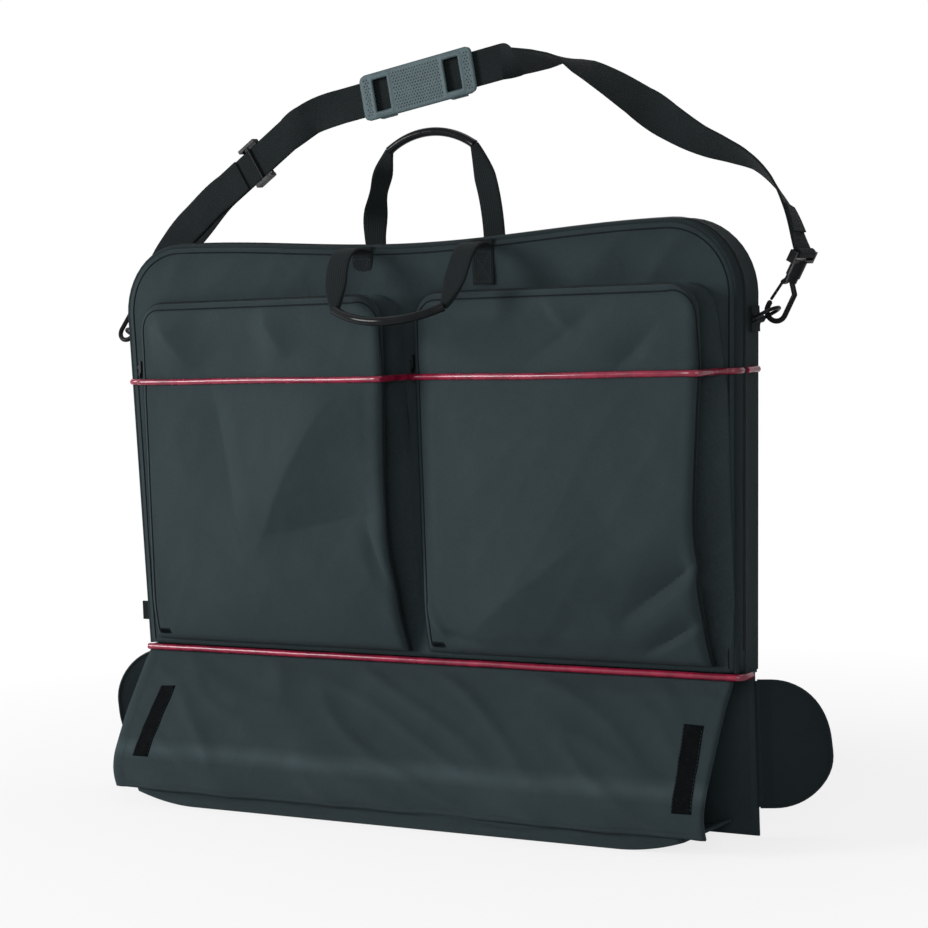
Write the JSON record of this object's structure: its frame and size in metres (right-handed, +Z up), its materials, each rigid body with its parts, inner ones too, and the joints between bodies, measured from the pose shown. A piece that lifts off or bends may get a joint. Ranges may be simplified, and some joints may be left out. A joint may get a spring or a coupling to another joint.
{
  "type": "garment bag",
  "caption": "Flat upright garment-style carry bag with zipped front, bellows pockets, open foot sleeve, grab handles and a detachable padded shoulder strap.",
  "frame": {"origin": "middle of the base on the floor", "axes": "+Z up, +X along the width to the right of the pocketed front, +Y towards the back"},
  "size_m": [0.8297, 0.1749, 0.7692],
  "materials": {
    "bag_fabric": "black woven polyester with a slight sheen",
    "webbing": "black ribbed nylon webbing",
    "piping_red": "glossy red piping cord",
    "zip_black": "black nylon coil and black slider",
    "hook_strip": "black hook-and-loop tape",
    "grip": "glossy black plastic tube",
    "pad_rubber": "moulded blue-grey rubber with a dotted texture",
    "hardware_black": "black moulded plastic",
    "metal_bright": "bright nickel-plated metal"
  },
  "bodies": {
    "bag": {"back_panel": "bag_fabric", "gusset_back": "bag_fabric", "compartment_floor": "bag_fabric", "sleeve_base": "bag_fabric", "sleeve_cover": "bag_fabric", "piping_back": "bag_fabric", "piping_lower": "piping_red", "piping_upper_rear_left": "piping_red", "piping_upper_rear_right": "piping_red", "zip_row_back": "zip_black", "strip_left": "hook_strip", "strip_right": "hook_strip", "ring_tab_left": "webbing", "ring_tab_right": "webbing", "side_tab": "webbing", "rear_patch_left": "webbing", "rear_patch_right": "webbing"},
    "front_cover": {"front_panel": "bag_fabric", "gusset_front": "bag_fabric", "piping_front": "bag_fabric", "piping_upper": "piping_red", "zip_row_front": "zip_black", "pocket_left": "bag_fabric", "pocket_right": "bag_fabric", "front_patch_left": "webbing", "front_patch_right": "webbing"},
    "front_handle": {"front_handle_web": "webbing", "front_handle_grip": "grip"},
    "rear_handle": {"rear_handle_web": "webbing", "rear_handle_grip": "grip"},
    "flap_left": {"end_flap_left": "bag_fabric"},
    "flap_right": {"end_flap_right": "bag_fabric"},
    "strap": {"strap_web_left": "webbing", "strap_web_pad": "webbing", "strap_web_twist": "webbing", "strap_web_right": "webbing", "strap_ply": "webbing", "strap_loop_left": "webbing", "strap_loop_right": "webbing", "hook_base_left": "hardware_black", "hook_base_right": "hardware_black"},
    "pad": {"shoulder_pad": "pad_rubber"},
    "strap_adjuster": {"adjuster": "hardware_black"},
    "d_ring_left": {"ring_left": "hardware_black"},
    "d_ring_right": {"ring_right": "hardware_black"},
    "hook_left": {"jaw_left": "hardware_black"},
    "hook_right": {"jaw_right": "hardware_black"},
    "hook_gate_left": {"gate_left": "hardware_black"},
    "hook_gate_right": {"gate_right": "hardware_black"},
    "main_slider": {"slider_main": "metal_bright"},
    "main_pull": {"pull_main": "metal_bright"},
    "left_slider": {"slider_left": "zip_black"},
    "right_slider": {"slider_right": "zip_black"},
    "left_pull": {"pull_left": "zip_black"},
    "right_pull": {"pull_right": "zip_black"}
  },
  "joints": [
    {"name": "cover_open", "type": "hinge", "parent": "bag", "child": "front_cover", "pos_m": [0, 0.0145, 0.1619], "axis": [1, 0, 0], "range_deg": [0, 50]},
    {"name": "front_handle_lift", "type": "hinge", "parent": "front_cover", "child": "front_handle", "pos_m": [0.019, 0.0077, 0.569], "axis": [-1, 0, 0], "range_deg": [0, 128]},
    {"name": "rear_handle_fall", "type": "hinge", "parent": "bag", "child": "rear_handle", "pos_m": [0.001, 0.0643, 0.569], "axis": [-1, 0, 0], "range_deg": [0, 170]},
    {"name": "flap_left_swing", "type": "hinge", "parent": "bag", "child": "flap_left", "pos_m": [-0.3489, 0.0575, 0.088], "axis": [0, 0, 1], "range_deg": [-80, 65]},
    {"name": "flap_right_swing", "type": "hinge", "parent": "bag", "child": "flap_right", "pos_m": [0.3489, 0.0575, 0.088], "axis": [0, 0, -1], "range_deg": [-30, 115]},
    {"name": "strap_fall", "type": "hinge", "parent": "bag", "child": "strap", "pos_m": [0, 0.0454, 0.49972], "axis": [-1, 0, 0], "range_deg": [0, 18]},
    {"name": "pad_slide", "type": "slide", "parent": "strap", "child": "pad", "axis": [0.9883, 0, 0.1522], "range_m": [-0.022, 0.022]},
    {"name": "adjuster_slide", "type": "slide", "parent": "strap", "child": "strap_adjuster", "axis": [0.8554, -0.0692, 0.5133], "range_m": [0, 0.03]},
    {"name": "ring_left_swing", "type": "hinge", "parent": "bag", "child": "d_ring_left", "pos_m": [-0.36584, 0.0454, 0.49], "axis": [0, 1, 0], "range_deg": [0, 4]},
    {"name": "ring_right_swing", "type": "hinge", "parent": "bag", "child": "d_ring_right", "pos_m": [0.36584, 0.0454, 0.49], "axis": [0, -1, 0], "range_deg": [0, 4]},
    {"name": "hook_left_swivel", "type": "hinge", "parent": "strap", "child": "hook_left", "pos_m": [-0.39134, 0.04049, 0.48862], "axis": [0.3576, 0.3774, 0.8542], "range_deg": [-8, 20]},
    {"name": "hook_right_swivel", "type": "hinge", "parent": "strap", "child": "hook_right", "pos_m": [0.38039, 0.0454, 0.48835], "axis": [0.4848, 0, 0.8746], "range_deg": [-20, 20]},
    {"name": "gate_left_press", "type": "hinge", "parent": "hook_left", "child": "hook_gate_left", "pos_m": [-0.37344, 0.05374, 0.51859], "axis": [0, 0.9147, -0.4042], "range_deg": [0, 13], "stiffness_Nm_per_rad": 0.05, "springref_deg": -5.73},
    {"name": "gate_right_press", "type": "hinge", "parent": "hook_right", "child": "hook_gate_right", "pos_m": [0.39395, 0.0454, 0.52314], "axis": [0, -1, 0], "range_deg": [0, 13], "stiffness_Nm_per_rad": 0.05, "springref_deg": -5.73},
    {"name": "main_zip_slide", "type": "slide", "parent": "bag", "child": "main_slider", "axis": [-0.0318, 0, 0.9995], "range_m": [-0.28, 0.008]},
    {"name": "main_pull_lift", "type": "hinge", "parent": "main_slider", "child": "main_pull", "pos_m": [-0.36696, 0.027, 0.49183], "axis": [0, 1, 0], "range_deg": [0, 120]},
    {"name": "left_zip_slide", "type": "slide", "parent": "front_cover", "child": "left_slider", "axis": [0, 0, 1], "range_m": [0, 0.029]},
    {"name": "right_zip_slide", "type": "slide", "parent": "front_cover", "child": "right_slider", "axis": [0, 0, 1], "range_m": [0, 0.029]},
    {"name": "left_pull_lift", "type": "hinge", "parent": "left_slider", "child": "left_pull", "pos_m": [-0.3394, 0.00403, 0.4588], "axis": [0, 1, 0], "range_deg": [0, 120]},
    {"name": "right_pull_lift", "type": "hinge", "parent": "right_slider", "child": "right_pull", "pos_m": [0.0076, 0.00403, 0.4588], "axis": [0, 1, 0], "range_deg": [0, 66]}
  ]
}
